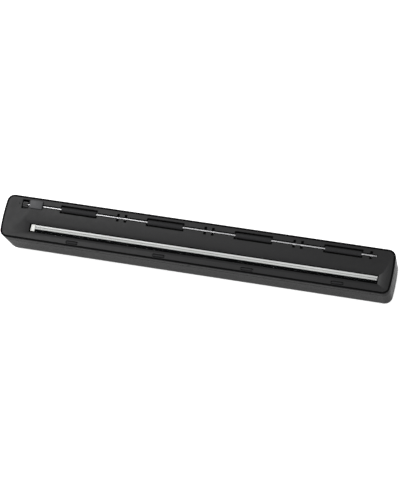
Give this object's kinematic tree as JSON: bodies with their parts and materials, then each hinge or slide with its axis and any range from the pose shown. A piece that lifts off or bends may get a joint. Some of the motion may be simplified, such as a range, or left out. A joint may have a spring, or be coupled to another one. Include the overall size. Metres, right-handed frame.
{
  "type": "handheld document scanner",
  "caption": "Long slim handheld document scanner bar lying scan face up, with a glass-covered sensor strip, rubber rollers on one steel shaft, and buttons and a small display on its back.",
  "frame": {"origin": "under the middle of the bar, on the plane its back rests on", "axes": "+X along the bar with the gear cover at the -X end, +Y towards the drive rollers, +Z out of the scan face"},
  "size_m": [0.256, 0.0288, 0.0288],
  "materials": {
    "shell_gloss_black": "glossy moulded ABS",
    "plate_satin_black": "fine satin texture",
    "cover_grey": "satin dark grey",
    "sensor_black": "matte black",
    "sensor_glass": "clear thin glass",
    "light_guide": "translucent acrylic",
    "lens_white": "fine ribbed rod lens row",
    "led_white": "white moulded",
    "rubber": "dull rubber",
    "idler_rubber": "dull rubber",
    "steel": "bright ground steel",
    "spring_steel": "satin spring steel",
    "gear_nylon": "dark nylon",
    "bronze": "sintered bronze",
    "board_green": "solder mask",
    "component_black": "moulded epoxy",
    "ribbon": "polyimide film",
    "display_grey": "reflective liquid crystal",
    "display_window": "smoked acrylic",
    "button_silver": "satin silver plastic",
    "light_pipe": "frosted acrylic",
    "nickel": "nickel plated",
    "cell_wrap": "plain shrink sleeve"
  },
  "bodies": {
    "housing": {"back_shell": "shell_gloss_black", "side_frame": "shell_gloss_black", "scan_plate": "plate_satin_black", "gear_cover": "cover_grey", "sensor_spring_left": "spring_steel", "sensor_spring_right": "spring_steel", "ribbon_cable": "ribbon", "shaft_bush": "bronze", "encoder_axle": "steel", "encoder_sensor": "component_black", "main_board": "board_green", "display_module": "display_grey", "display_window": "display_window", "status_light_pipe": "light_pipe", "usb_socket": "nickel", "memory_card_socket": "nickel", "battery_cell_1": "cell_wrap", "battery_cell_2": "cell_wrap", "battery_contact_positive": "nickel", "battery_contact_negative": "nickel", "housing_screw_1": "steel", "housing_screw_2": "steel", "housing_screw_3": "steel", "idler_pin_1": "steel", "idler_pin_2": "steel", "idler_pin_3": "steel", "idler_pin_4": "steel", "scan_switch": "component_black", "power_switch": "component_black", "format_switch": "component_black", "colour_switch": "component_black"},
    "drive_shaft": {"roller_shaft": "steel", "drive_roller_1": "rubber", "drive_roller_2": "rubber", "drive_roller_3": "rubber", "drive_roller_4": "rubber", "shaft_gear": "gear_nylon"},
    "encoder": {"encoder_gear": "gear_nylon", "encoder_wheel": "component_black"},
    "sensor_bar": {"sensor_housing": "sensor_black", "sensor_glass": "sensor_glass", "lens_array": "lens_white", "light_guide": "light_guide", "led_block": "led_white", "sensor_board": "board_green"},
    "door": {"battery_door": "shell_gloss_black"},
    "idler_1": {"idler_roller_1": "idler_rubber"},
    "idler_2": {"idler_roller_2": "idler_rubber"},
    "idler_3": {"idler_roller_3": "idler_rubber"},
    "idler_4": {"idler_roller_4": "idler_rubber"},
    "scan_key": {"scan_button": "button_silver"},
    "power_key": {"power_button": "button_silver"},
    "format_key": {"format_button": "button_silver"},
    "colour_key": {"colour_button": "button_silver"}
  },
  "joints": [
    {"name": "drive_shaft_spin", "type": "hinge", "parent": "housing", "child": "drive_shaft", "pos_m": [0, 0.0091, 0.027], "axis": [1, 0, 0], "continuous": true},
    {"name": "encoder_spin", "type": "hinge", "parent": "housing", "child": "encoder", "pos_m": [-0.1149, 0.0074, 0.02303], "axis": [1, 0, 0], "continuous": true},
    {"name": "idler_1_spin", "type": "hinge", "parent": "housing", "child": "idler_1", "pos_m": [-0.07874, -0.01185, 0.0273], "axis": [1, 0, 0], "continuous": true},
    {"name": "idler_2_spin", "type": "hinge", "parent": "housing", "child": "idler_2", "pos_m": [-0.02097, -0.01185, 0.0273], "axis": [1, 0, 0], "continuous": true},
    {"name": "idler_3_spin", "type": "hinge", "parent": "housing", "child": "idler_3", "pos_m": [0.03679, -0.01185, 0.0273], "axis": [1, 0, 0], "continuous": true},
    {"name": "idler_4_spin", "type": "hinge", "parent": "housing", "child": "idler_4", "pos_m": [0.09456, -0.01185, 0.0273], "axis": [1, 0, 0], "continuous": true},
    {"name": "sensor_float", "type": "slide", "parent": "housing", "child": "sensor_bar", "axis": [0, 0, -1], "range_m": [0, 0.0005], "stiffness_N_per_m": 600, "springref_m": -0.002, "deforming": ["sensor_spring_left", "sensor_spring_right", "ribbon_cable"]},
    {"name": "scan_press", "type": "slide", "parent": "housing", "child": "scan_key", "axis": [0, 0, 1], "range_m": [0, 0.0005], "stiffness_N_per_m": 100, "springref_m": -0.006},
    {"name": "power_press", "type": "slide", "parent": "housing", "child": "power_key", "axis": [0, 0, 1], "range_m": [0, 0.0005], "stiffness_N_per_m": 100, "springref_m": -0.006},
    {"name": "format_press", "type": "slide", "parent": "housing", "child": "format_key", "axis": [0, 0, 1], "range_m": [0, 0.0005], "stiffness_N_per_m": 100, "springref_m": -0.006},
    {"name": "colour_press", "type": "slide", "parent": "housing", "child": "colour_key", "axis": [0, 0, 1], "range_m": [0, 0.0005], "stiffness_N_per_m": 100, "springref_m": -0.006},
    {"name": "door_release", "type": "slide", "parent": "housing", "child": "door", "axis": [0, 0, -1], "range_m": [0, 0.025]}
  ],
  "couplings": [
    {"joint": "encoder_spin", "follows": "drive_shaft_spin", "ratio": -0.5}
  ]
}
